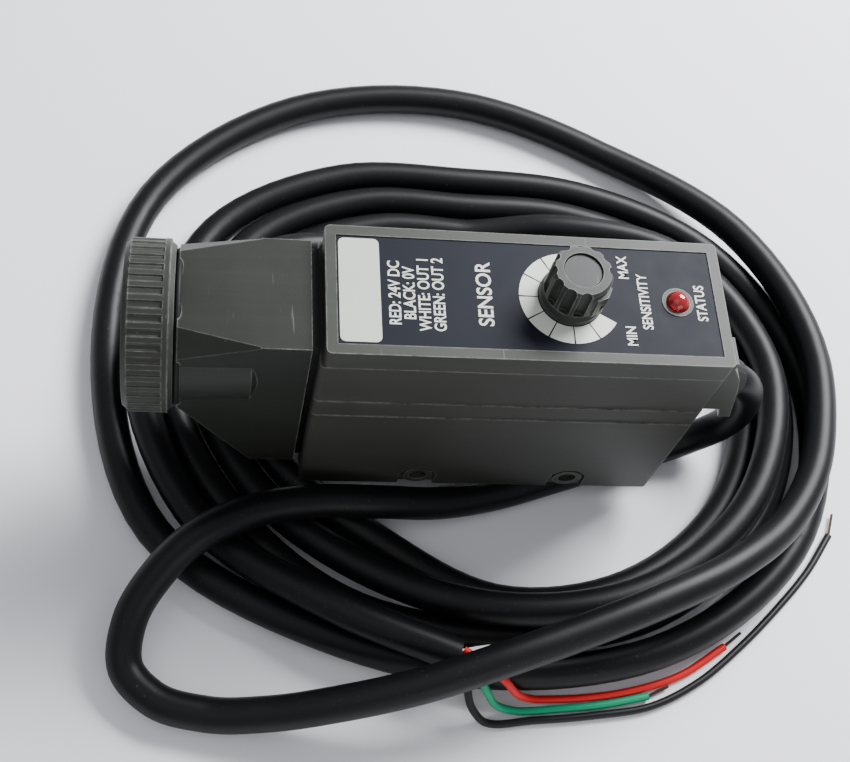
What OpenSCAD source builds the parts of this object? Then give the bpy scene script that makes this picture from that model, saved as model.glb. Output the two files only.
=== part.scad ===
// Photoelectric mark sensor: a moulded box with an optical nose at the front, a sensitivity knob and a status lamp on
// top, and a moulded-on cable that leaves under a hood at the rear and lies coiled on the table under the box.
// Origin: the middle of the two cross holes that bolt the sensor to a bracket. +X to the rear, +Z up, millimetres.

/* [Housing] */
// Width of the housing at its top, and of the cover
body_w = 30; // [29:0.5:31]
// Length of the cover
body_l = 83.8; // [83:0.1:86]
// Distance from the cover's front face back to the first cross hole
hole_from_front = 26.6; // [26:0.1:28]
// Distance between the two cross holes
hole_pitch = 36; // [35:0.5:37]
// Diameter of the cross holes, for M4 bolts
hole_d = 4.3; // [4.2:0.1:4.6]
// Height of the cross holes above the underside
hole_above_base = 4.3; // [4:0.1:5]
// Height from the underside to the top of the cover
body_h = 60.3; // [60:0.1:61]
// Height of the cover's rim
cover_h = 6; // [5.5:0.1:6.5]
// Wall thickness of the mouldings
wall = 2; // [1.8:0.1:2.2]

/* [Top panel] */
// Width of the raised frame around the label
frame_w = 2.3; // [2:0.1:2.6]
// Distance of the knob's axis from the cover's front face
knob_from_front = 50.2; // [49:0.1:51]
// Distance of the status lamp from the cover's front face
lamp_from_front = 73.3; // [72:0.1:74]
// Diameter of the knob at its base
knob_d = 13.5; // [13:0.1:13.6]
// Height of the knob
knob_h = 10.2; // [9:0.1:11]
// Direction of the knob's pointer, anticlockwise from the rear
pointer_deg = -44; // [-60:1:-30]

/* [Optics] */
// Distance of the optical axis below the top of the cover
axis_drop = 17.7; // [17.2:0.1:18]
// Outer diameter of the knurled lens ring
ring_d = 35.8; // [35:0.1:37]
// Length of the knurled lens ring
ring_l = 10; // [9:0.5:10]
// Distance from the housing's front face to the rear of the lens ring
nose_l = 28.6; // [28:0.1:29]
// Width of the nose where it meets the housing
nose_w = 25.8; // [25:0.1:26.5]

/* [Cable] */
// Diameter of the cable's jacket
cable_d = 7.8; // [7.6:0.1:7.8]
// Diameter of each insulated conductor
wire_d = 1.8; // [1.6:0.1:1.8]

/* [Hidden] */
$fn = 48;

// Main planes
front_x = -hole_pitch / 2 - hole_from_front;
rear_x = front_x + body_l;
base_z = -hole_above_base;
top_z = base_z + body_h;
split_z = top_z - cover_h;
half_w = body_w / 2;
housing_front_x = front_x - 0.8;
in_x0 = housing_front_x + wall;
in_x1 = rear_x - wall;
in_w = body_w - 2 * wall;
corner_r = 1.2;

// Side steps, label recess and printed plate
band_top_z = base_z + 40.1;
band_low_z = base_z + 34.2;
step_out = 0.25;
label_deep = 0.6;
label_t = 0.4;
label_z = top_z - label_deep;
knob_x = front_x + knob_from_front;
lamp_x = front_x + lamp_from_front;

// Knob, shaft and lamp
knob_z = top_z + 0.2;
knob_top_d = 12.5;
knob_base_h = 3.2;
flutes = 12;
shaft_r = 3;
shaft_bore_r = 3.1;
led_r = 2.5;

// Nose, barrel and lens ring, along X
axis_z = top_z - axis_drop;
ring_rear_x = housing_front_x - nose_l;
ring_front_x = ring_rear_x - ring_l;
nose_front_x = ring_rear_x + 0.7;
nose_step_x = housing_front_x - 11.4;
nose_end_x = housing_front_x - 1.6;
nose_top_z = top_z - 2.9;
nose_low_z = top_z - 54.3;
nose_out_w = 27;
nose_flat_w = 17.6;
nose_screw_y = 8;
nose_screw_z = 0.4;
barrel_r = 14.6;
barrel_front_x = ring_front_x + 2.6;
ring_bore_r = barrel_r + 0.1;
rib_count = 40;
rib_h = 0.35;

// Boards
board_z = 39;
board_t = 1.6;
board_x0 = -28;
board_x1 = 30;
screw_x = [front_x + 8.5, rear_x - 4.6];
screw_y = 10.6;

// Rear hood and the cable's way out
exit_z = 27;
boot_in_r = 6.1;
boot_end_r = 4.7;
boot_collar_r = 8.8;
hood_y = 13.4;

// Where the cable rests: the table lies one cable and a little play under the housing
table_z = base_z - 8;
cable_r = cable_d / 2;
lie_z = table_z + 3.9;
wire_lie_z = table_z + 0.95;

// The lead: out of the boot, round and down, under the housing, round the small loop and along the front.
// Each point is x, y and the height of its middle above the height at which the cable lies on the table.
lead = [
    [54.3, 0.1, 31.5], [58.2, 0.2, 27.5], [60.9, 0, 18.5], [59.4, -0.3, 9.5], [53, -1.2, 2.6], [44, -3.6, 0], [32, -7, 0],
    [18, -11.5, 0], [4, -16, 0], [-12, -20, 2.5], [-27, -21.8, 7], [-42, -23, 9.5], [-56, -26.5, 12],
    [-67.5, -32.5, 13], [-76.5, -40.5, 9], [-82, -49.5, 4.5], [-82.4, -58.8, 0.8], [-76, -65.4, 0],
    [-65, -68.6, 0], [-52, -69.4, 3], [-37, -68.6, 8], [-20, -66.2, 13], [-3, -61.8, 16.5], [15, -56, 17.5],
    [35, -48.5, 17.6],
    [54, -39.5, 16], [69, -28.5, 13.4], [79.5, -14, 12.2], [84.8, 1, 11]
];

// The coil: its middle, then one row for each turn with the radius every 30 degrees, and the height added there
coil_c = [0, 18];
coil_step = 30;
coil_r = [
    [87.5, 86, 81, 85, 91, 95, 91, 90, 79.5, 78, 83.5, 89.5],
    [88, 77.5, 64, 57.8, 65.5, 76, 77.5, 73, 71, 69.6, 74.6, 78.6],
    [79, 68.2, 55.4, 49.2, 56.6, 67, 69, 64.7, 62.5, 65.4, 70.4, 74.4],
    [74.8, 64, 46.8, 40.8, 47.6, 57.8, 60.2, 56.2, 53.8, 61, 66, 70.2],
    [70, 58.8, 38.4, 32.4, 37, 55, 82, 81, 75]
];
coil_h = [
    [9.5, 4.5, 0, 0, 0, 0, 0, 0, 0, 0, 2, 2],
    [0, 0, 0, 0, 0, 0, 0, 0, 0, 0, 2, 2],
    [0, 0, 0, 0, 0, 0, 0, 0, 3.6, 7.3, 8.9, 8.9],
    [7.5, 7, 5, 0, 0, 0, 0, 0, 0, 0, 0, 0],
    [0, 0, 0, 0, 1.6, 8.6, 8.3, 3, 7.6]
];
coil_end = [262, 77, 7.8];

// The four conductors: angle round the coil's middle, radius, and height above the cable's lying height
red_route = [
    [262.6, 76, 9.2], [266, 78.4, 9], [269.6, 81.4, 6.4], [272.4, 83.4, 1.4],
    [276, 83.8, -2.95], [283, 85.3, -2.95], [291, 87.4, -2.95], [299, 89.4, -2.95], [308, 90.4, -2.95]
];
green_route = [
    [262.6, 78, 9.2], [265, 80.8, 8.4], [267, 83.4, 4.6], [269, 85.2, 0], [272.6, 86, -2.95],
    [279, 86.6, -2.95], [286, 88.1, -2.95], [293, 90, -2.95]
];
black_route = [
    [262.6, 78, 6.8], [263.8, 82, 5], [265.2, 86, 0.6], [267.6, 88.4, -2.95],
    [275, 88.4, -2.95], [284, 89.8, -2.95], [293, 92.4, -2.95], [301, 93, -2.95],
    [310, 93, -2.95], [319, 94, -2.95], [327, 96, -2.95], [334, 97.8, -2.95]
];
white_route = [
    [262.6, 76, 6.8], [267.5, 74.2, 5.8], [273, 74.2, 5.6], [280, 74.9, 6], [287, 75.4, 6.2], [293, 75.8, 6.2]
];

// Places along a route
function polar(p) = [coil_c.x + p[1] * cos(p[0]), coil_c.y + p[1] * sin(p[0]), lie_z + p[2]];
function lifted(p) = [p.x, p.y, lie_z + p.z];
function unit(v) = v / norm(v);
function coil_points() = [
    for (turn = [0:len(coil_r) - 1], i = [0:len(coil_r[turn]) - 1])
        polar([i * coil_step, coil_r[turn][i], coil_h[turn][i]])
];
boot_route = [[rear_x, 0, exit_z], [rear_x + 4.5, 0, exit_z], [rear_x + 9.5, 0, exit_z - 1.5], [53.2, 0.1, 23.6]];
cable_route = concat([boot_route[3]], [for (p = lead) lifted(p)], coil_points(), [polar(coil_end)]);
function polar_route(route) = [for (p = route) polar(p)];

// A tube swept along points: a ring of corners square to the way at each point, with a radius for each
function heading(route, i) =
    i == 0 ? unit(route[1] - route[0])
    : i == len(route) - 1 ? unit(route[i] - route[i - 1])
    : unit(unit(route[i] - route[i - 1]) + unit(route[i + 1] - route[i]));
function square_to(s, d) = unit(s - (s * d) * d);
function sideways(route) = let (last = len(route) - 1) [
    for (i = 0, s = square_to([0, 1, 0], heading(route, 0)); i <= last;
        i = i + 1, s = i > last ? s : square_to(s, heading(route, i))) s
];
function ring_at(p, d, s, r, sides) = let (u = cross(s, d))
    [for (k = [0:sides - 1]) p + r * (s * cos(360 * k / sides) + u * sin(360 * k / sides))];

module swept(route, radii, sides) {
    last = len(route) - 1;
    side = sideways(route);
    points = [for (i = [0:last])
        each ring_at(route[i], heading(route, i), side[i], radii[min(i, len(radii) - 1)], sides)];
    walls = [for (i = [0:last - 1], k = [0:sides - 1])
        let (a = i * sides + k, b = i * sides + (k + 1) % sides) [a, b, b + sides, a + sides]];
    polyhedron(points, concat([[for (k = [sides - 1:-1:0]) k]], walls, [[for (k = [0:sides - 1]) last * sides + k]]),
        convexity = 10);
}

// A block with rounded upright edges
module rounded_block(x0, x1, w, z0, z1, r) {
    translate([0, 0, z0]) linear_extrude(z1 - z0) {
        translate([x0 + r, -w / 2]) square([x1 - x0 - 2 * r, w]);
        translate([x0, -w / 2 + r]) square([x1 - x0, w - 2 * r]);
        for (x = [x0 + r, x1 - r], y = [-w / 2 + r, w / 2 - r]) translate([x, y]) circle(r);
    }
}

module block(x0, x1, w, z0, z1) {
    translate([x0, -w / 2, z0]) cube([x1 - x0, w, z1 - z0]);
}

module along_x(x0, x1, r0, r1) {
    translate([x0, 0, 0]) rotate([0, 90, 0]) cylinder(h = x1 - x0, r1 = r0, r2 = r1);
}

module across(r, length) {
    rotate([90, 0, 0]) cylinder(h = length, r = r, center = true);
}

module housing() {
    pocket_deep = 0.8;
    pocket_r = 4.25;
    rim_r = 3.4;
    color("#575955") difference() {
        union() {
            rounded_block(housing_front_x, rear_x, body_w, base_z, split_z, corner_r);
            rounded_block(housing_front_x, rear_x, body_w + 2 * step_out, base_z, band_top_z, corner_r);
            rounded_block(housing_front_x, rear_x, body_w + 4 * step_out, base_z, band_low_z, corner_r);
        }
        difference() {
            block(in_x0, in_x1, in_w, base_z + wall, split_z + 1);
            for (x = screw_x, y = [-screw_y, screw_y])
                translate([x, y, base_z]) cylinder(h = split_z - base_z, r = 2.7);
            for (x = [-hole_pitch / 2, hole_pitch / 2]) translate([x, 0, 0]) across(4.6, body_w);
            for (x = [board_x0 + 3, board_x1 - 3], y = [-9, 9])
                translate([x, y, base_z]) cylinder(h = board_z - base_z, r = 2);
        }
        for (x = [-hole_pitch / 2, hole_pitch / 2]) translate([x, 0, 0]) {
            across(hole_d / 2 + 0.75, body_w - 2);
            across(hole_d / 2, body_w + 4);
            for (side = [-1, 1]) translate([0, side * (half_w + 2 * step_out), 0]) difference() {
                union() {
                    across(pocket_r, 2 * pocket_deep);
                    translate([-pocket_r, -pocket_deep, base_z - 1]) cube([2 * pocket_r, 2 * pocket_deep, 1 - base_z]);
                }
                across(rim_r, 2 * pocket_deep);
            }
        }
        for (x = screw_x, y = [-screw_y, screw_y]) translate([x, y, base_z]) {
            cylinder(h = 60, r = 1.6);
            translate([0, 0, -1]) cylinder(h = 4, r = 3);
        }
        block(housing_front_x - 1, in_x0 + 1, nose_w - 2.4, nose_low_z + 1.2, nose_top_z - 5.1);
        for (y = [-nose_screw_y, nose_screw_y])
            translate([0, y, nose_screw_z]) along_x(in_x0 - 1.4, in_x0 + 1, 0.9, 0.9);
        translate([0, 0, exit_z]) along_x(in_x1 - 1, rear_x + 1, boot_in_r, boot_in_r);
        for (y = [-8.6, 8.6]) translate([0, y, 41]) along_x(in_x1 - 1, rear_x + 1, 0.9, 0.9);
    }
}

module cover() {
    color("#5c5e5a") difference() {
        union() {
            difference() {
                rounded_block(front_x, rear_x, body_w, split_z, top_z, corner_r);
                block(front_x + wall, rear_x - wall, in_w, split_z - 1, label_z - 1.6);
            }
            for (x = screw_x, y = [-screw_y, screw_y])
                translate([x, y, split_z]) cylinder(h = 4, r = 2.7);
            translate([knob_x, 0, split_z - 0.5]) cylinder(h = 5, r = 5.6);
            translate([lamp_x, 0, split_z + 1]) cylinder(h = 4, r = 4.2);
        }
        block(front_x + frame_w, rear_x - frame_w, body_w - 2 * frame_w, label_z, top_z + 1);
        for (x = screw_x, y = [-screw_y, screw_y]) translate([x, y, split_z - 1]) cylinder(h = 4.4, r = 1.3);
        translate([knob_x, 0, split_z - 1]) cylinder(h = 10, r = shaft_bore_r + 0.3);
        translate([knob_x, 0, split_z - 1]) cylinder(h = 3, r = 4.6);
        translate([lamp_x, 0, split_z - 1]) cylinder(h = 10, r = led_r + 0.6);
    }
}

module cover_gasket() {
    color("#1b1b1b") difference() {
        block(in_x0 + 0.1, rear_x - wall - 0.1, in_w - 0.2, split_z - 1.2, split_z - 0.05);
        block(in_x0 + 1.3, rear_x - wall - 1.3, in_w - 2.6, split_z - 2, split_z + 1);
        for (x = screw_x, y = [-screw_y, screw_y]) translate([x, y, split_z - 2]) cylinder(h = 3, r = 2.8);
    }
}

module cover_screws() {
    color("#b9bcc0") for (x = screw_x, y = [-screw_y, screw_y]) translate([x, y, base_z + 0.6]) difference() {
        union() {
            cylinder(h = 2.2, r = 2.75);
            cylinder(h = split_z - base_z + 2.4, r = 1.25);
        }
        for (turn = [0, 90]) rotate(turn) translate([-1.6, -0.35, -1]) cube([3.2, 0.7, 1.9]);
    }
}

module label_plate() {
    gap = 0.1;
    color("#20232c") difference() {
        rounded_block(front_x + frame_w + gap, rear_x - frame_w - gap, body_w - 2 * frame_w - 2 * gap, label_z,
            label_z + label_t, 0.4);
        translate([knob_x, 0, label_z - 1]) cylinder(h = 3, r = 4.2);
        translate([lamp_x, 0, label_z - 1]) cylinder(h = 3, r = led_r + 0.95);
    }
}

module knob() {
    skirt_r = knob_d / 2;
    grip_r = knob_top_d / 2;
    cap_r = 4.05;
    notch_r = 1.25;
    color("#5d5f5b") translate([knob_x, 0, knob_z]) rotate(pointer_deg) difference() {
        union() {
            cylinder(h = 1.2, r = skirt_r);
            translate([0, 0, 1.2]) cylinder(h = 1.2, r1 = skirt_r, r2 = skirt_r - 0.5);
            translate([0, 0, 2.4]) cylinder(h = knob_h - 3, r1 = grip_r + 0.1, r2 = grip_r);
            translate([0, 0, knob_h - 0.6]) cylinder(h = 0.6, r1 = grip_r, r2 = grip_r - 0.5);
            translate([0, 0, 2.4]) linear_extrude(knob_h - 4.4)
                polygon([[2, -2.3], [skirt_r - 0.4, -2.3], [skirt_r + 0.4, 0], [skirt_r - 0.4, 2.3], [2, 2.3]]);
        }
        for (k = [0:flutes - 1]) rotate((k + 0.5) * 360 / flutes) translate([grip_r + 0.35, 0, 2.6])
            if (k != 0 && k != flutes - 1) cylinder(h = knob_h, r = notch_r, $fn = 24);
        translate([skirt_r - 0.7, -1, 3]) cube([3, 2, 2.8]);
        translate([0, 0, knob_h - 1.1]) cylinder(h = 2, r = cap_r);
        translate([0, 0, -1]) cylinder(h = knob_h - 1.6, r = shaft_r);
    }
}

module knob_cap() {
    color("#636560") translate([knob_x, 0, knob_z + knob_h - 1.1]) {
        cylinder(h = 0.5, r = 4);
        translate([0, 0, 0.5]) cylinder(h = 0.15, r1 = 4, r2 = 3.8);
    }
}

module pot_shaft() {
    color("#c9c9c4") translate([knob_x, 0, 45.6]) difference() {
        cylinder(h = knob_z + knob_h - 2.7 - 45.6, r = shaft_r);
        translate([-3, 2.2, 10.6]) cube([6, 2, 20]);
    }
}

module pot_body() {
    color("#2f5f8f") difference() {
        union() {
            translate([knob_x - 5.5, -5.5, board_z + board_t]) cube([11, 11, 4.6]);
            translate([knob_x, 0, board_z + board_t]) cylinder(h = 8.2, r = 4.4);
        }
        translate([knob_x, 0, 45.2]) cylinder(h = 10, r = shaft_r + 0.08);
    }
}

module shaft_seal() {
    color("#161616") translate([knob_x, 0, split_z - 0.2]) difference() {
        cylinder(h = 2, r = 4.5);
        translate([0, 0, -1]) cylinder(h = 4, r = shaft_r + 0.06);
    }
}

module status_led() {
    color("#c0121c", 0.8) translate([lamp_x, 0, label_z]) {
        translate([0, 0, -4.4]) cylinder(h = 1, r = led_r + 0.4);
        translate([0, 0, -3.4]) cylinder(h = 3.6, r = led_r);
        translate([0, 0, 0.2]) intersection() {
            sphere(r = led_r);
            translate([-3, -3, 0]) cube([6, 6, 3]);
        }
    }
    color("#b8b8b8") for (y = [-1.27, 1.27]) translate([lamp_x - 0.25, y - 0.25, board_z + board_t])
        cube([0.5, 0.5, label_z - 4.4 - board_z - board_t]);
}

module led_bezel() {
    color("#b9b4ad") translate([lamp_x, 0, 0]) rotate_extrude() {
        translate([led_r + 0.05, label_z - 3.2]) square([0.5, 3.2]);
        translate([led_r + 0.05, label_z]) square([0.85, 0.55]);
    }
}

module main_board() {
    color("#1d6b3c") difference() {
        rounded_block(board_x0, board_x1, 24, board_z, board_z + board_t, 0.8);
        for (x = [board_x0 + 3, board_x1 - 3], y = [-9, 9]) translate([x, y, board_z - 1]) cylinder(h = 4, r = 1.1);
    }
}

module board_parts() {
    color("#26282b") {
        translate([-18, -6, board_z + board_t]) cube([10, 9, 1.8]);
        translate([-10, -9, board_z - 1.4]) cube([7, 6, 1.4]);
        translate([18, -10, board_z + board_t]) cube([6, 5, 2.2]);
        for (i = [0:3]) translate([-4 + 4 * i, 4, board_z - 1]) cube([2, 1.2, 1]);
    }
    color("#31485f") for (x = [-2, 14]) translate([x, -3, board_z - 9]) cylinder(h = 9, r = 3.1);
}

module plug_header() {
    color("#ece8dc") difference() {
        translate([19, 1, board_z - 7]) cube([6, 11, 7]);
        translate([20, 2, board_z - 8]) cube([4, 9, 6]);
    }
    color("#c8c8c8") for (i = [0:3]) translate([21.7, 2.7 + 2.5 * i, board_z - 5.5]) cube([0.6, 0.6, 5.5]);
}

module optics_block() {
    x0 = nose_step_x + 2;
    x1 = -34;
    color("#17181a") difference() {
        block(x0, x1, 15.4, axis_z - 13, axis_z + 7.2);
        translate([0, 0, axis_z]) along_x(x0 - 1, x1 + 1, 6.4, 6.4);
        translate([-43, 0, axis_z - 14]) cylinder(h = 16, r = 6);
        translate([-43, 0, axis_z]) rotate([0, 45, 0]) cube([1.4, 15, 19], center = true);
    }
}

module optics_board() {
    color("#1d6b3c") translate([-33.9, -7.5, axis_z - 13]) cube([1.6, 15, 20]);
}

module photodiode() {
    color("#3a3d42") {
        translate([0, 0, axis_z]) along_x(-38.4, -33.95, 2.4, 2.4);
    }
    color("#d8c06a") translate([0, 0, axis_z]) along_x(-38.8, -38.4, 1.4, 1.8);
}

module emitter_led() {
    color("#dfe6ea", 0.8) translate([-43, 0, axis_z - 13]) {
        cylinder(h = 1, r = 2.9);
        cylinder(h = 1.5, r = 1.9);
        translate([0, 0, 1.5]) intersection() {
            sphere(r = 1.9);
            translate([-3, -3, 0]) cube([6, 6, 3]);
        }
    }
}

module condenser_lens() {
    color("#cfe3ea", 0.5) translate([-43, 0, axis_z - 9.3]) intersection() {
        cylinder(h = 2.4, r = 5.95);
        translate([0, 0, -7]) sphere(r = 9.4);
    }
}

module beam_splitter() {
    color("#bfe0e6", 0.5) translate([-43, 0, axis_z]) rotate([0, 45, 0]) cube([1.2, 14.8, 18.8], center = true);
}

// Outline of the nose across its length: a rectangle with cut corners
module nose_section(x, w, z0, z1, cut) {
    translate([x, 0, 0]) rotate([90, 0, 90]) linear_extrude(0.6)
        polygon([[-w / 2 + cut, z0], [w / 2 - cut, z0], [w / 2, z0 + cut], [w / 2, z1 - cut], [w / 2 - cut, z1],
            [-w / 2 + cut, z1], [-w / 2, z1 - cut], [-w / 2, z0 + cut]]);
}

module nose_solid(inset) {
    ring_cut = (nose_out_w - nose_flat_w) / 2;
    low_z = 2 * axis_z - nose_top_z;
    hull() {
        nose_section(nose_front_x + inset, nose_out_w - 2 * inset, low_z + inset, nose_top_z - inset, ring_cut);
        nose_section(nose_step_x - 0.6, nose_w - 2 * inset, nose_low_z + inset, nose_top_z - inset, 0.4);
    }
}

module nose() {
    bulge_r = 15.3;
    bulge_end_x = nose_step_x - 1.6;
    color("#585a56") difference() {
        union() {
            nose_solid(0);
            block(nose_step_x - 0.3, nose_end_x, nose_w, nose_low_z, nose_top_z);
            block(nose_end_x - 1, housing_front_x - 0.02, nose_w - 2.4, nose_low_z + 1.2, nose_top_z - 1.2);
            block(housing_front_x - 0.5, in_x0 + 0.01, nose_w - 2.6, nose_low_z + 1.3, nose_top_z - 5.2);
            block(in_x0, in_x0 + 2, in_w - 2, base_z + wall + 0.1, split_z - 1.4);
            intersection() {
                translate([0, 0, axis_z]) union() {
                    along_x(nose_front_x, bulge_end_x, bulge_r, bulge_r - 0.7);
                    along_x(bulge_end_x, nose_step_x, bulge_r - 0.7, 12.5);
                }
                block(nose_front_x, nose_step_x, 40, axis_z - 14, nose_top_z - 0.05);
            }
        }
        nose_solid(wall);
        block(nose_step_x - 1, in_x0 + 3, nose_w - 2 * wall - 2.6, nose_low_z + wall + 1.3, nose_top_z - wall - 5.2);
        block(nose_step_x - 1, nose_end_x - wall, nose_w - 2 * wall, nose_low_z + wall, nose_top_z - wall);
        translate([0, 0, axis_z]) along_x(nose_front_x - 1, nose_front_x + 6, barrel_r, barrel_r);
        translate([0, 0, axis_z]) rotate([0, 90, 0]) translate([0, 0, nose_front_x])
            rotate_extrude() translate([15.6, 0]) circle(0.7, $fn = 24);
        for (y = [-nose_screw_y, nose_screw_y]) translate([0, y, nose_screw_z]) along_x(in_x0 - 4, in_x0 + 4, 0.9, 0.9);
    }
}

module nose_screws() {
    color("#b9bcc0") for (y = [-nose_screw_y, nose_screw_y]) translate([0, y, nose_screw_z]) {
        along_x(in_x0 - 1.3, in_x0 + 2, 0.85, 0.85);
        along_x(in_x0 + 2, in_x0 + 3.4, 1.7, 1.5);
    }
}

module lens_barrel() {
    thread_pitch = 1.5;
    color("#1c1d1f") translate([0, 0, axis_z]) difference() {
        union() {
            along_x(barrel_front_x, nose_front_x + 6, barrel_r - 0.02, barrel_r - 0.02);
        }
        along_x(barrel_front_x - 1, nose_front_x + 9, 11.4, 11.4);
        for (i = [0:3]) translate([barrel_front_x + 0.9 + thread_pitch * i, 0, 0]) rotate([0, 90, 0])
            rotate_extrude() translate([barrel_r + 0.1, 0]) circle(0.45, $fn = 4);
    }
}

module barrel_oring() {
    color("#101010") translate([nose_front_x, 0, axis_z]) rotate([0, 90, 0])
        rotate_extrude() translate([15.6, 0]) circle(0.6, $fn = 24);
}

module lens_ring() {
    outer_r = ring_d / 2;
    core_r = outer_r - rib_h;
    edge = 0.9;
    step = 360 / rib_count;
    teeth = [for (k = [0:rib_count - 1], c = [[core_r, 0.1], [outer_r, 0.2], [outer_r, 0.62], [core_r, 0.72]])
        let (a = (k + c[1]) * step) c[0] * [cos(a), sin(a)]];
    color("#62645f") translate([0, 0, axis_z]) difference() {
        union() {
            along_x(ring_front_x + edge, ring_rear_x - edge, core_r - 0.2, core_r - 0.2);
            along_x(ring_front_x, ring_front_x + edge, core_r - 0.9, core_r - 0.2);
            along_x(ring_rear_x - edge, ring_rear_x, core_r - 0.2, core_r - 0.9);
            along_x(ring_rear_x - 2.2, ring_rear_x - edge - 0.1, outer_r + 0.06, outer_r + 0.06);
            translate([ring_front_x + edge + 0.2, 0, 0]) rotate([0, 90, 0])
                linear_extrude(ring_l - edge - 2) polygon(teeth);
        }
        along_x(ring_front_x + 0.8, ring_rear_x + 1, ring_bore_r, ring_bore_r);
        along_x(ring_front_x - 1, ring_front_x + 2, 12.6, 12.6);
    }
}

module lens_cell() {
    color("#232426") translate([0, 0, axis_z]) difference() {
        along_x(ring_front_x + 1.1, ring_front_x + 2.3, ring_bore_r - 0.1, ring_bore_r - 0.1);
        along_x(ring_front_x, ring_front_x + 3, 13, 13);
    }
}

module objective_lens() {
    edge_r = 12.95;
    dome_r = 12.2;
    dome_h = 1.7;
    ball_r = (dome_r * dome_r + dome_h * dome_h) / (2 * dome_h);
    dome = [for (i = [0:8]) let (r = dome_r * (1 - i / 8)) [r, sqrt(ball_r * ball_r - r * r) - ball_r + dome_h]];
    color("#cfdde2", 0.5) translate([ring_front_x + 1.1, 0, axis_z]) rotate([0, -90, 0]) {
        rotate_extrude() polygon(concat([[0, -1.2], [edge_r, -1.2], [edge_r, 0]], dome));
    }
}

module rear_hood() {
    slope = [[rear_x, 53], [rear_x + 1.5, 52], [rear_x + 4.1, 47.5], [rear_x + 5.5, 43], [rear_x + 8.3, 30.6],
        [rear_x + 5.6, 30.6], [rear_x + 4.6, 34], [rear_x, 34]];
    color("#62645f") difference() {
        union() {
            rotate([90, 0, 0]) linear_extrude(2 * hood_y, center = true) polygon(slope);
            translate([rear_x, -hood_y, split_z]) cube([1.4, 6.4, 4.4]);
        }
        rotate([90, 0, 0]) linear_extrude(2 * hood_y - 3.6, center = true) polygon([[rear_x + 1.6, 49],
            [rear_x + 2.4, 47.4], [rear_x + 3.9, 43], [rear_x + 6.6, 30], [rear_x + 1.6, 30]]);
        translate([0, 0, exit_z]) along_x(rear_x - 1, rear_x + 12, boot_collar_r + 0.3, boot_collar_r + 0.3);
        for (y = [-8.6, 8.6]) translate([0, y, 41]) along_x(rear_x - 1, rear_x + 3, 1.1, 1.1);
    }
}

module hood_screws() {
    color("#b9bcc0") for (y = [-8.6, 8.6]) translate([0, y, 41]) {
        along_x(rear_x - 2.9, rear_x + 1.6, 0.85, 0.85);
        along_x(rear_x + 1.6, rear_x + 2.9, 1.9, 1.6);
    }
}

module cable_boot() {
    color("#141414") {
        swept(boot_route, [boot_in_r, boot_in_r, boot_in_r - 0.4, boot_end_r], 24);
        translate([0, 0, exit_z]) {
            along_x(in_x1, rear_x + 0.05, boot_in_r - 0.3, boot_in_r - 0.3);
            along_x(in_x1 - 2.5, in_x1, 7.4, 7.4);
            along_x(rear_x + 0.05, rear_x + 3.6, boot_collar_r, boot_collar_r);
            along_x(rear_x + 3.6, rear_x + 5, boot_collar_r, boot_collar_r - 1.2);
        }
    }
}

module cable_clamp() {
    color("#8d8f91") difference() {
        translate([26.2, -6.8, exit_z - 6.5]) cube([4.8, 13.6, 12.4]);
        translate([0, 0, exit_z]) along_x(20, 40, cable_r, cable_r);
        for (y = [-5.4, 5.4]) translate([28.6, y, exit_z - 10]) cylinder(h = 20, r = 1.1);
    }
}

module clamp_screws() {
    color("#b9bcc0") for (y = [-5.4, 5.4]) translate([28.6, y, exit_z - 6.4]) {
        cylinder(h = 12.3, r = 1.05);
        translate([0, 0, 12.3]) cylinder(h = 1.3, r = 1.8);
    }
}

module inner_leads() {
    color("#151515") translate([0, 0, exit_z]) along_x(25, in_x1 - 2.5, cable_r, cable_r);
    for (i = [0:3]) color(["#b3161b", "#101010", "#e6e6e2", "#0f8a4a"][i])
        swept([[25, (i - 1.5) * 1.9, exit_z], [23.6, (i - 1.5) * 1.9, exit_z + 1], [22, 3 + 2.5 * i, exit_z + 2.5],
            [22, 3 + 2.5 * i, 33.4]], [0.75], 8);
}

module mount_sleeves() {
    color("#b08d4a") for (x = [-hole_pitch / 2, hole_pitch / 2]) translate([x, 0, 0]) difference() {
        across(hole_d / 2 + 0.75, body_w - 2);
        across(hole_d / 2, body_w);
    }
}

module cable() {
    color("#141414") swept(cable_route, [cable_r], 8);
}

module wire(route, tint) {
    color(tint) swept(polar_route(route), [wire_d / 2], 8);
}

module wire_tip(route, turn_in) {
    tip_r = 0.35;
    end = route[len(route) - 1];
    swept(polar_route([end, [end[0] + turn_in[0], end[1] + turn_in[1], end[2]]]), [tip_r], 8);
}

module wire_tips() {
    color("#9a6a45") {
        wire_tip(red_route, [3.6, 0.4]);
        wire_tip(green_route, [3.6, 0.2]);
        wire_tip(black_route, [3.6, -0.4]);
        wire_tip(white_route, [3.6, 0.6]);
    }
}

housing();
cover();
cover_gasket();
cover_screws();
label_plate();
knob();
knob_cap();
pot_shaft();
pot_body();
shaft_seal();
status_led();
led_bezel();
main_board();
board_parts();
plug_header();
optics_board();
optics_block();
emitter_led();
condenser_lens();
beam_splitter();
photodiode();
nose();
nose_screws();
lens_barrel();
barrel_oring();
lens_ring();
lens_cell();
objective_lens();
rear_hood();
hood_screws();
cable_boot();
cable_clamp();
clamp_screws();
inner_leads();
mount_sleeves();
cable();
wire(red_route, "#b3161b");  // red_wire
wire(green_route, "#0f8a4a");  // green_wire
wire(black_route, "#101010");  // black_wire
wire(white_route, "#e6e6e2");  // white_wire
wire_tips();
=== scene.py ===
# %% [markdown]
# # A photoelectric mark sensor and its coiled cable
# The frame brings the CAD solids. This script gives them surfaces, sweeps the cable and the conductors as
# round curves, prints the label and lights the scene. Everything is in metres, in the part's own frame.

import math

import bmesh
import bpy
from mathutils import Matrix, Vector


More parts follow.
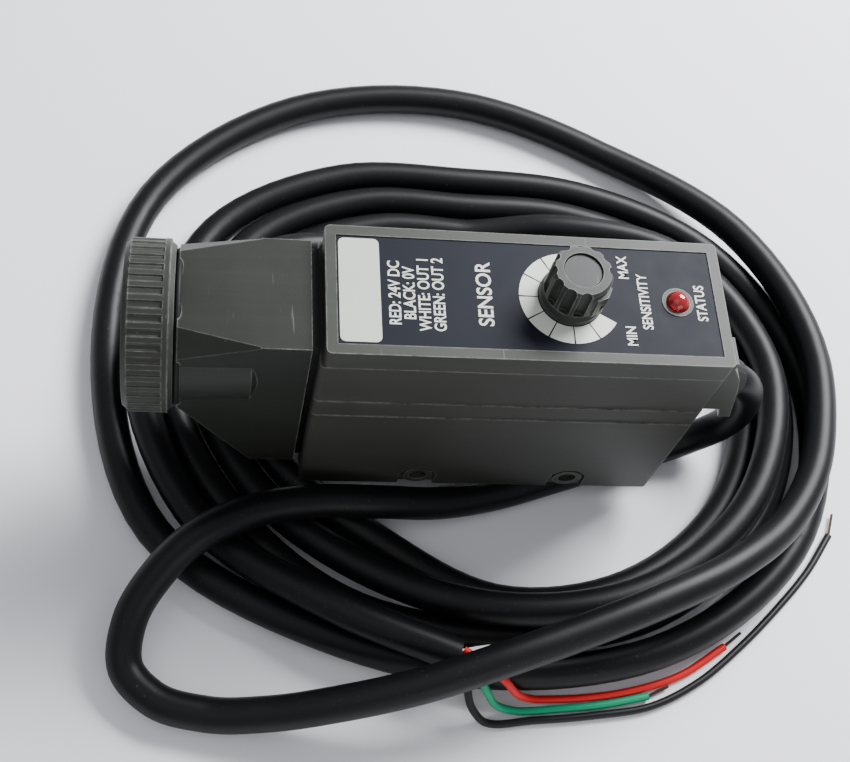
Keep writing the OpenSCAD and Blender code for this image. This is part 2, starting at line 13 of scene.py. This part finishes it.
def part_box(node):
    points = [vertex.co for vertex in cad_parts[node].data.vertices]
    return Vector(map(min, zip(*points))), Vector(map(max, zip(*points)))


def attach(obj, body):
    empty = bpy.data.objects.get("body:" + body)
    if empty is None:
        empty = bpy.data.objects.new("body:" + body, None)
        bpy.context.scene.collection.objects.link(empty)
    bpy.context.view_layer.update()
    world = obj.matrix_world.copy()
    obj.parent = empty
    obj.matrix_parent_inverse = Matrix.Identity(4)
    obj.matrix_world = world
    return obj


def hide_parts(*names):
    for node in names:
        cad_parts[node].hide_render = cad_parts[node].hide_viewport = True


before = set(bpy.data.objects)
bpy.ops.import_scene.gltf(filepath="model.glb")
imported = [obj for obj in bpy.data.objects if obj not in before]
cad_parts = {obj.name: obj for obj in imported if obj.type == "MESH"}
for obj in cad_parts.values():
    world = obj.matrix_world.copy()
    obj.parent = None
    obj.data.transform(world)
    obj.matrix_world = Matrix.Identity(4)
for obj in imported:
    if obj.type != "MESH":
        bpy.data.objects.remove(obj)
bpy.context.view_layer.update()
MM = 0.001

# %% [markdown]
# ## Camera
# The camera stands above the near side and looks down at about sixty degrees.

# %% Camera
lens_at = Vector((-68.2, -138.3, 276.9)) * MM
look = Vector((0.1675, 0.4641, -0.8698)).normalized()
down = Vector((0.0312, -0.8843, -0.4658)).normalized()
back = -look
across = (-down).cross(back).normalized()
upward = back.cross(across)
camera_data = bpy.data.cameras.new("camera")
camera_data.lens = 55.6
camera_data.sensor_width = 36
camera_data.clip_start = 0.005
camera = bpy.data.objects.new("camera", camera_data)
bpy.context.scene.collection.objects.link(camera)
camera.matrix_world = Matrix.Translation(lens_at) @ Matrix((across, upward, back)).transposed().to_4x4()
bpy.context.scene.camera = camera
print("camera at", tuple(round(v, 4) for v in lens_at))

# %% [markdown]
# ## Cable and conductors
# The lead runs out of the boot, down and under the housing, round the small loop and over the front of the
# coil. The coil is a radius and a height every thirty degrees, and the same routes are in the CAD. The lead
# is x, y and how far its middle is above that of cable lying on the table. A conductor is an angle, a
# radius and that same height.

# %% Routes
TABLE = -12.3
CABLE_R = 3.9
WIRE_R = 0.9
LIE = TABLE + CABLE_R
COIL_C = (0, 18)
COIL_STEP = 30
BOOT_END = (53.2, 0.1, 23.6)
CABLE_END = (262, 77, 7.8)
lead = [
    (54.3, 0.1, 31.5), (58.2, 0.2, 27.5), (60.9, 0, 18.5), (59.4, -0.3, 9.5), (53, -1.2, 2.6), (44, -3.6, 0),
    (32, -7, 0), (18, -11.5, 0), (4, -16, 0), (-12, -20, 2.5), (-27, -21.8, 7), (-42, -23, 9.5),
    (-56, -26.5, 12),
    (-67.5, -32.5, 13), (-76.5, -40.5, 9), (-82, -49.5, 4.5), (-82.4, -58.8, 0.8), (-76, -65.4, 0),
    (-65, -68.6, 0), (-52, -69.4, 3), (-37, -68.6, 8), (-20, -66.2, 13), (-3, -61.8, 16.5), (15, -56, 17.5),
    (35, -48.5, 17.6), (54, -39.5, 16), (69, -28.5, 13.4), (79.5, -14, 12.2), (84.8, 1, 11),
]
coil_r = [
    (87.5, 86, 81, 85, 91, 95, 91, 90, 79.5, 78, 83.5, 89.5),
    (88, 77.5, 64, 57.8, 65.5, 76, 77.5, 73, 71, 69.6, 74.6, 78.6),
    (79, 68.2, 55.4, 49.2, 56.6, 67, 69, 64.7, 62.5, 65.4, 70.4, 74.4),
    (74.8, 64, 46.8, 40.8, 47.6, 57.8, 60.2, 56.2, 53.8, 61, 66, 70.2),
    (70, 58.8, 38.4, 32.4, 37, 55, 82, 81, 75),
]
coil_h = [
    (9.5, 4.5, 0, 0, 0, 0, 0, 0, 0, 0, 2, 2),
    (0, 0, 0, 0, 0, 0, 0, 0, 0, 0, 2, 2),
    (0, 0, 0, 0, 0, 0, 0, 0, 3.6, 7.3, 8.9, 8.9),
    (7.5, 7, 5, 0, 0, 0, 0, 0, 0, 0, 0, 0),
    (0, 0, 0, 0, 1.6, 8.6, 8.3, 3, 7.6),
]
wire_routes = {
    "red_wire": [
        (262.6, 76, 9.2), (266, 78.4, 9), (269.6, 81.4, 6.4), (272.4, 83.4, 1.4),
        (276, 83.8, -2.95), (283, 85.3, -2.95), (291, 87.4, -2.95), (299, 89.4, -2.95), (308, 90.4, -2.95),
    ],
    "green_wire": [
        (262.6, 78, 9.2), (265, 80.8, 8.4), (267, 83.4, 4.6), (269, 85.2, 0), (272.6, 86, -2.95),
        (279, 86.6, -2.95), (286, 88.1, -2.95), (293, 90, -2.95),
    ],
    "black_wire": [
        (262.6, 78, 6.8), (263.8, 82, 5), (265.2, 86, 0.6), (267.6, 88.4, -2.95),
        (275, 88.4, -2.95), (284, 89.8, -2.95), (293, 92.4, -2.95), (301, 93, -2.95),
        (310, 93, -2.95), (319, 94, -2.95), (327, 96, -2.95), (334, 97.8, -2.95),
    ],
    "white_wire": [
        (262.6, 76, 6.8), (267.5, 74.2, 5.8), (273, 74.2, 5.6), (280, 74.9, 6), (287, 75.4, 6.2),
        (293, 75.8, 6.2),
    ],
}


def polar(p):
    a = math.radians(p[0])
    return Vector((COIL_C[0] + p[1] * math.cos(a), COIL_C[1] + p[1] * math.sin(a), LIE + p[2])) * MM


cable_route = [Vector(BOOT_END) * MM] + [Vector((x, y, LIE + z)) * MM for x, y, z in lead]
for radii, heights in zip(coil_r, coil_h):
    cable_route += [polar((COIL_STEP * i, r, h)) for i, (r, h) in enumerate(zip(radii, heights))]
cable_route.append(polar(CABLE_END))
print(len(cable_route), "points on the cable")


# %% Curves
def smoothed(points, steps=8):
    """A smooth line through the points, as a closely spaced list, even where their spacing isn't."""
    gaps = [(b - a) for a, b in zip(points, points[1:])]
    slopes = [gaps[0].normalized()]
    for before, after in zip(gaps, gaps[1:]):
        n0, n1 = before.length, after.length
        slopes.append((before * (n1 / n0) + after * (n0 / n1)) / (n0 + n1))
    slopes.append(gaps[-1].normalized())
    line = []
    for i, painted_gap_shade in enumerate(gaps):
        a, b, s0, s1 = points[i], points[i + 1], slopes[i] * painted_gap_shade.length, slopes[i + 1] * painted_gap_shade.length
        for k in range(steps):
            t = k / steps
            line.append(a * (2 * t ** 3 - 3 * t * t + 1) + s0 * (t ** 3 - 2 * t * t + t)
                        + b * (3 * t * t - 2 * t ** 3) + s1 * (t ** 3 - t * t))
    return line + [points[-1].copy()]


def sweep(name, points, radius, steps=8):
    """A round tube along the points, the line that it follows and its length."""
    line = smoothed(points, steps)
    floor = TABLE * MM + radius
    for p in line:
        p.z = max(p.z, floor)
    data = bpy.data.curves.new(name, "CURVE")
    data.dimensions = "3D"
    data.bevel_depth = radius
    data.bevel_resolution = 6
    data.use_fill_caps = True
    data.twist_mode = "MINIMUM"
    spline = data.splines.new("POLY")
    spline.points.add(len(line) - 1)
    for point, at in zip(spline.points, line):
        point.co = (*at, 1)
    spline.use_smooth = True
    drawn = bpy.data.objects.new(name + "_curve", data)
    bpy.context.scene.collection.objects.link(drawn)
    bpy.context.view_layer.update()
    mesh = bpy.data.meshes.new_from_object(drawn.evaluated_get(bpy.context.evaluated_depsgraph_get()))
    bpy.data.objects.remove(drawn)
    mesh.polygons.foreach_set("use_smooth", [len(f.vertices) == 4 for f in mesh.polygons])
    tube = bpy.data.objects.new(name, mesh)
    bpy.context.scene.collection.objects.link(tube)
    return tube, line, sum((b - a).length for a, b in zip(line, line[1:]))


cable, cable_line, cable_length = sweep("cable_tube", cable_route, CABLE_R * MM)
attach(cable, "root")
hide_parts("cable")
wires = {}
for name, route in wire_routes.items():
    wire, line, length = sweep(name + "_tube", [polar(p) for p in route], WIRE_R * MM)
    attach(wire, "root")
    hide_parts(name)
    tuple(polar(route[0]))
    wires[name] = wire
    print(name, round(length, 4))
print("cable length", round(cable_length, 3))

# %% [markdown]
# ## Shader arithmetic
# `Sock` wraps a node's output, so that plain `+` and `*` on it add the Math nodes, and `Shader` makes any
# other node.


# %% Shader tools
class Sock:
    """An output socket that can be added, scaled and mixed."""

    def __init__(self, shader, socket):
        self.shader, self.socket = shader, socket

    def math(self, op, other):
        return self.shader.node("Math", {0: self, 1: other}, operation=op)

    def __add__(self, other):
        return self.math("ADD", other)

    def __mul__(self, other):
        return self.math("MULTIPLY", other)

    def step(self, low, high):
        return self.shader.node("Map Range", {0: self, 1: low, 2: high, 3: 0.0, 4: 1.0}, clamp=True)


class Shader:
    """A material with one Principled shader."""

    bump_depth = 0.0001
    kinds = {"Math": "ShaderNodeMath", "Map Range": "ShaderNodeMapRange", "Noise": "ShaderNodeTexNoise",
             "Coords": "ShaderNodeTexCoord", "Mapping": "ShaderNodeMapping", "Mix": "ShaderNodeMix",
             "Bump": "ShaderNodeBump", "Bevel": "ShaderNodeBevel", "Geometry": "ShaderNodeNewGeometry",
             "Vector Math": "ShaderNodeVectorMath", "Separate": "ShaderNodeSeparateXYZ"}

    def __init__(self, name, **constants):
        self.material = bpy.data.materials.new(name)
        self.material.use_nodes = True
        self.tree = self.material.node_tree
        self.bsdf = self.tree.nodes["Principled BSDF"]
        for key, value in constants.items():
            self.bsdf.inputs[key.replace("_", " ")].default_value = value
        self.point = self.node("Coords", out="Object")

    def node(self, kind, inputs=None, out=0, **settings):
        made = self.tree.nodes.new(self.kinds[kind])
        for key, value in settings.items():
            setattr(made, key, value)
        for key, value in (inputs or {}).items():
            if isinstance(value, Sock):
                self.tree.links.new(value.socket, made.inputs[key])
            else:
                made.inputs[key].default_value = value
        return Sock(self, made.outputs[out])

    def noise(self, scale, detail=4.0, rough=0.55, stretch=None):
        at = self.point
        if stretch:
            at = self.node("Mapping", {"Vector": at, "Scale": stretch})
        return self.node("Noise", {"Vector": at, "Scale": scale, "Detail": detail, "Roughness": rough})

    def mix(self, factor, a, b):
        return self.node("Mix", {0: factor, 6: (*a, 1) if isinstance(a, tuple) else a,
                                 7: (*b, 1) if isinstance(b, tuple) else b}, out=2, data_type="RGBA")

    def worn_edges(self, radius):
        """How far the surface bends inside the radius: 1 on sharp edges."""
        bevel = self.node("Bevel", {"Radius": radius}, samples=6)
        normal = self.node("Geometry", out="Normal")
        dot = self.node("Vector Math", {0: bevel, 1: normal}, out="Value", operation="DOT_PRODUCT")
        return dot.step(0.995, 0.8)

    def set(self, key, value):
        self.tree.links.new(value.socket, self.bsdf.inputs[key])

    def bump(self, height, strength):
        raised = self.node("Bump", {"Height": height, "Strength": strength, "Distance": self.bump_depth})
        self.set("Normal", raised)


print(len(Shader.kinds), "node kinds")

# %% [markdown]
# ## Materials
# The mouldings are a greenish grey satin plastic with fine streaks along the draw and light, worn edges;
# across the nose a near-black band is painted as the shade in the gap to the housing.
# The jacket is black PVC with soft highlights, slight scuffs and dust.


# %% Moulded plastic
def moulding(name, dark, light, rough=0.42, edge=0.0005, painted_gap_shade=None):
    m = Shader(name, Specular_IOR_Level=0.24)
    cloud = m.noise(60, 5)
    grain = m.noise(2600, 2)
    streak = m.noise(500, 4, 0.6, (0.04, 1, 1))
    wear = m.worn_edges(edge) * m.noise(420, 5, 0.7).step(0.3, 0.62)
    scratch = m.noise(900, 2, 0.5, (1, 0.08, 1)).step(0.71, 0.78)
    tone = m.mix(cloud, dark, light)
    tone = m.mix(streak.step(0.5, 0.8) * 0.25, tone, tuple(v * 1.35 for v in light))
    tone = m.mix(wear * 0.75, tone, (0.26, 0.27, 0.235))
    tone = m.mix(scratch * 0.35, tone, (0.2, 0.21, 0.185))
    # Painted shade: a near-black band across the nose, between these x limits, stands for the shade in the
    # gap to the housing.
    if painted_gap_shade:
        along = m.node("Separate", {0: m.point})
        in_gap_shade = along.math("GREATER_THAN", painted_gap_shade[0]) * along.math("LESS_THAN", painted_gap_shade[1])
        tone = m.mix(in_gap_shade, tone, (0.004, 0.004, 0.004))
    m.set("Base Color", tone)
    m.set("Roughness", cloud * 0.14 + streak * 0.1 + (rough - 0.1))
    m.bump(grain * 0.6 + streak * 0.5, 0.22)
    return m.material


body_grey = moulding("moulded_grey", (0.03, 0.031, 0.027), (0.046, 0.047, 0.041))
cover_grey = moulding("cover_grey", (0.034, 0.036, 0.031), (0.049, 0.051, 0.044))
# The nose carries a painted shade band, near black, at its gap to the housing.
nose_grey = moulding("nose_grey", (0.013, 0.0145, 0.012), (0.021, 0.023, 0.019), painted_gap_shade=(-0.0469, -0.0442))
ring_grey = moulding("ring_grey", (0.02, 0.0215, 0.018), (0.031, 0.033, 0.028), 0.5, 0.0005)
knob_grey = moulding("knob_grey", (0.017, 0.0185, 0.017), (0.028, 0.03, 0.028), 0.38, 0.0005)
print("mouldings made")


# %% Cable jacket and rubber
def jacket(name, color, dusty, rough=0.4, dust=0.12):
    m = Shader(name, Specular_IOR_Level=0.2)
    cloud = m.noise(45, 4)
    fine = m.noise(1500, 3)
    scuff = m.noise(260, 6, 0.7).step(0.6, 0.75)
    speck = m.noise(1900, 2).step(0.69, 0.74)
    tone = m.mix(cloud * 0.5, color, dusty)
    tone = m.mix(speck * dust, tone, (0.3, 0.3, 0.3))
    m.set("Base Color", tone)
    m.set("Roughness", cloud * 0.14 + scuff * 0.1 + rough)
    m.bump(fine + cloud * 2.0, 0.12)
    return m.material


cable_black = jacket("cable_black", (0.003, 0.0033, 0.004), (0.0075, 0.008, 0.009), 0.36)
rubber_black = jacket("rubber_black", (0.006, 0.006, 0.007), (0.016, 0.016, 0.017), 0.5)
insulation = {
    "red_wire": jacket("wire_red", (0.62, 0.008, 0.012), (0.75, 0.03, 0.03), 0.3, 0.05),
    "green_wire": jacket("wire_green", (0.0, 0.28, 0.13), (0.01, 0.36, 0.18), 0.3, 0.05),
    "black_wire": jacket("wire_black", (0.008, 0.008, 0.009), (0.02, 0.02, 0.022), 0.3, 0.05),
    "white_wire": jacket("wire_white", (0.72, 0.72, 0.69), (0.8, 0.8, 0.77), 0.3, 0.05),
}
print("jackets made")


# %% Other materials
def plain(name, dark, light, rough, scale=300, bumpy=0.1, **constants):
    m = Shader(name, **constants)
    cloud = m.noise(scale, 4)
    m.set("Base Color", m.mix(cloud, dark, light))
    m.set("Roughness", cloud * 0.15 + rough)
    m.bump(m.noise(scale * 6, 2), bumpy)
    return m.material


label_dark = plain("label_dark", (0.004, 0.005, 0.011), (0.007, 0.009, 0.016), 0.45, 180, 0.06,
                   Specular_IOR_Level=0.12)
print_white = plain("print_white", (0.55, 0.58, 0.52), (0.66, 0.69, 0.62), 0.4, 500)
print_pale = plain("print_pale", (0.46, 0.51, 0.43), (0.54, 0.59, 0.5), 0.4, 140)
lens_glass = plain("lens_glass", (0.9, 0.95, 0.96), (0.95, 0.98, 1.0), 0.0, 60, 0.0,
                   Transmission_Weight=1.0, IOR=1.5)
lamp_red = plain("lamp_red", (0.5, 0.004, 0.01), (0.62, 0.008, 0.015), 0.02, 90, 0.0,
                 Transmission_Weight=0.55, IOR=1.5, Coat_Weight=0.6)
steel = plain("plated_steel", (0.5, 0.51, 0.52), (0.62, 0.63, 0.64), 0.25, 700, 0.2, Metallic=1.0)
brass = plain("turned_brass", (0.5, 0.36, 0.14), (0.62, 0.45, 0.2), 0.25, 700, 0.2, Metallic=1.0)
copper = plain("copper_strands", (0.06, 0.045, 0.035), (0.13, 0.09, 0.07), 0.3, 900, 0.2, Metallic=1.0)
board = plain("board_green", (0.006, 0.11, 0.04), (0.01, 0.15, 0.06), 0.3)
black_plastic = plain("black_plastic", (0.011, 0.011, 0.012), (0.02, 0.02, 0.021), 0.4)
blue_plastic = plain("blue_plastic", (0.02, 0.09, 0.22), (0.03, 0.13, 0.3), 0.35)
ivory = plain("ivory_nylon", (0.62, 0.59, 0.5), (0.72, 0.69, 0.6), 0.45)
print("others made")

# %% Hand the materials out
worn_by = [
    (body_grey, "housing"),
    (cover_grey, "cover rear_hood"),
    (nose_grey, "nose"),
    (knob_grey, "led_bezel knob knob_cap"),
    (ring_grey, "lens_ring"),
    (label_dark, "label_plate"),
    (lamp_red, "status_led"),
    (lens_glass, "objective_lens emitter_led condenser_lens beam_splitter"),
    (black_plastic, "lens_cell lens_barrel optics_block photodiode board_parts"),
    (board, "main_board optics_board"),
    (blue_plastic, "pot_body"),
    (ivory, "pot_shaft plug_header"),
    (steel, "cover_screws nose_screws hood_screws clamp_screws cable_clamp"),
    (brass, "mount_sleeves"),
    (copper, "wire_tips"),
    (rubber_black, "cable_boot cover_gasket barrel_oring shaft_seal inner_leads"),
]
finish = {name: material for material, names in worn_by for name in names.split()}
for name, material in finish.items():
    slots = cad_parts[name].data.materials
    slots.clear()
    slots.append(material)
cable.data.materials.append(cable_black)
for name, wire in wires.items():
    wire.data.materials.append(insulation[name])
print(len(finish), "nodes dressed")

# %% [markdown]
# ## Label
# The plate carries a pale blank field, the wiring legend, the dial with its ten fields and the words at the
# knob and the lamp. The dial and the field stand 0.04 mm proud of the plate, and the words 0.1 mm.

# %% Printing
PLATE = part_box("label_plate")
PRINT_Z = PLATE[1][2] + 0.00001
PRINT_THICK = 0.00003
DIAL = (0.0056, 0.0)
DIAL_INNER, DIAL_OUTER = 0.00685, 0.01075
DIAL_START, FIELD_ANGLE, FIELD_GAP = 30, 30, 0.9


def stick_on(name, mesh):
    """Put printing on the label: it rides on the fixed body."""
    obj = bpy.data.objects.new(name, mesh)
    bpy.context.scene.collection.objects.link(obj)
    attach(obj, "root")


def add_print(name, bm, material):
    bmesh.ops.recalc_face_normals(bm, faces=bm.faces)
    mesh = bpy.data.meshes.new(name)
    bm.to_mesh(mesh)
    bm.free()
    mesh.materials.append(material)
    stick_on(name, mesh)


def ink(bm, outline):
    """A thin printed area with this outline, added to the mesh."""
    low = [bm.verts.new((x, y, PRINT_Z)) for x, y in outline]
    grown = bmesh.ops.extrude_face_region(bm, geom=[bm.faces.new(low)])
    top = [v for v in grown["geom"] if isinstance(v, bmesh.types.BMVert)]
    bmesh.ops.translate(bm, vec=(0, 0, PRINT_THICK), verts=top)


def ring_field(a0, a1, inner, outer, steps=8):
    angles = [math.radians(a0 + (a1 - a0) * i / steps) for i in range(steps + 1)]
    outline = [(DIAL[0] + outer * math.cos(a), DIAL[1] + outer * math.sin(a)) for a in angles]
    angles.reverse()
    return outline + [(DIAL[0] + inner * math.cos(a), DIAL[1] + inner * math.sin(a)) for a in angles]


dial = bmesh.new()
for i in range(10):
    start = DIAL_START + FIELD_ANGLE * i
    ink(dial, ring_field(start + FIELD_GAP, start + FIELD_ANGLE - FIELD_GAP, DIAL_INNER, DIAL_OUTER))
add_print("dial_print", dial, print_white)


def rounded(x0, x1, y0, y1, r, steps=5):
    outline = []
    corners = ((x1 - r, y1 - r, 0), (x0 + r, y1 - r, 90), (x0 + r, y0 + r, 180), (x1 - r, y0 + r, 270))
    for cx, cy, a0 in corners:
        outline += [(cx + r * math.cos(math.radians(a0 + 90 * i / steps)),
                     cy + r * math.sin(math.radians(a0 + 90 * i / steps))) for i in range(steps + 1)]
    return outline


field = bmesh.new()
ink(field, rounded(PLATE[0][0] + 0.0003, PLATE[0][0] + 0.0086, -0.0121, 0.0121, 0.0012))
add_print("blank_field", field, print_pale)
print("dial and blank field printed")


# %% Words
def word(name, text, x, y, size, squeeze):
    """A word that reads from the cable end: its baseline runs along +Y, with its middle at x, y."""
    data = bpy.data.curves.new(name, "FONT")
    data.body = text
    data.size = size
    data.align_x = "CENTER"
    data.align_y = "CENTER"
    data.extrude = 0.00004
    data.offset = size * 0.016
    flat = bpy.data.objects.new(name + "_flat", data)
    bpy.context.scene.collection.objects.link(flat)
    bpy.context.view_layer.update()
    shape = bpy.data.meshes.new_from_object(flat)
    bpy.data.objects.remove(flat)
    place = Matrix.Translation((x, y, PRINT_Z + 0.00005)) @ Matrix.Rotation(math.radians(90), 4, "Z")
    shape.transform(place @ Matrix.Diagonal((squeeze, 1, 1, 1)))
    shape.name = name
    shape.materials.clear()
    shape.materials.append(print_white)
    stick_on(name, shape)


for i, text in enumerate(("RED: 24V DC", "BLACK: 0V", "WHITE: OUT 1", "GREEN: OUT 2")):
    word("legend_%d" % (i + 1), text, -0.0307 + 0.0030 * i, -0.0005, 0.0034, 0.78)
word("title", "SENSOR", -0.0122, 0.0, 0.0044, 0.95)
word("word_min", "MIN", 0.0178, -0.0085, 0.0031, 0.85)
word("word_max", "MAX", 0.0178, 0.0079, 0.0031, 0.85)
word("word_sensitivity", "SENSITIVITY", 0.0216, -0.0002, 0.0031, 0.8)
word("word_status", "STATUS", 0.0338, 0.0, 0.0031, 0.8)
print("words printed")

# %% [markdown]
# ## Floor and light
# A pale, slightly blue sheet of paper lies under the part. A large soft light stands to the upper right,
# and two weaker ones above the near left and in front of the near side.

# %% Floor
bm = bmesh.new()
bmesh.ops.create_grid(bm, x_segments=2, y_segments=2, size=1.5)
bmesh.ops.translate(bm, vec=(0, 0, TABLE * MM - 0.0001), verts=bm.verts)
floor_mesh = bpy.data.meshes.new("floor")
bm.to_mesh(floor_mesh)
bm.free()
floor = bpy.data.objects.new("floor", floor_mesh)
bpy.context.scene.collection.objects.link(floor)
paper = Shader("paper", Specular_IOR_Level=0.2)
fibre = paper.noise(700, 5)
paper.set("Base Color", paper.mix(paper.noise(7, 3), (0.86, 0.86, 0.89), (0.91, 0.91, 0.94)))
paper.set("Roughness", fibre * 0.1 + 0.7)
paper.bump(fibre, 0.05)
floor_mesh.materials.append(paper.material)


# %% Lights
def area(name, at, aim, size, power, color):
    data = bpy.data.lights.new(name, "AREA")
    data.shape = "RECTANGLE"
    data.size, data.size_y = size
    data.energy = power
    data.color = color
    lamp = bpy.data.objects.new(name, data)
    bpy.context.scene.collection.objects.link(lamp)
    lamp.location = at
    lamp.rotation_euler = (Vector(aim) - Vector(at)).to_track_quat("-Z", "Y").to_euler()


area("window", (0.4, 0.4, 0.52), (0.05, 0.02, 0), (0.45, 0.35), 18.0, (0.97, 0.98, 1.0))
area("ceiling", (-0.35, -0.2, 0.9), (0, 0, 0), (0.7, 0.7), 1.0, (1.0, 0.99, 0.98))
area("room", (0.25, -0.95, 0.4), (0, 0, 0.02), (0.8, 0.5), 2.2, (1.0, 0.98, 0.95))
world = bpy.data.worlds.new("room")
world.use_nodes = True
background = world.node_tree.nodes["Background"]
background.inputs["Color"].default_value = (0.8, 0.82, 0.88, 1)
background.inputs["Strength"].default_value = 0.58
bpy.context.scene.world = world
print("lit")

# %% Finish
bpy.context.view_layer.update()
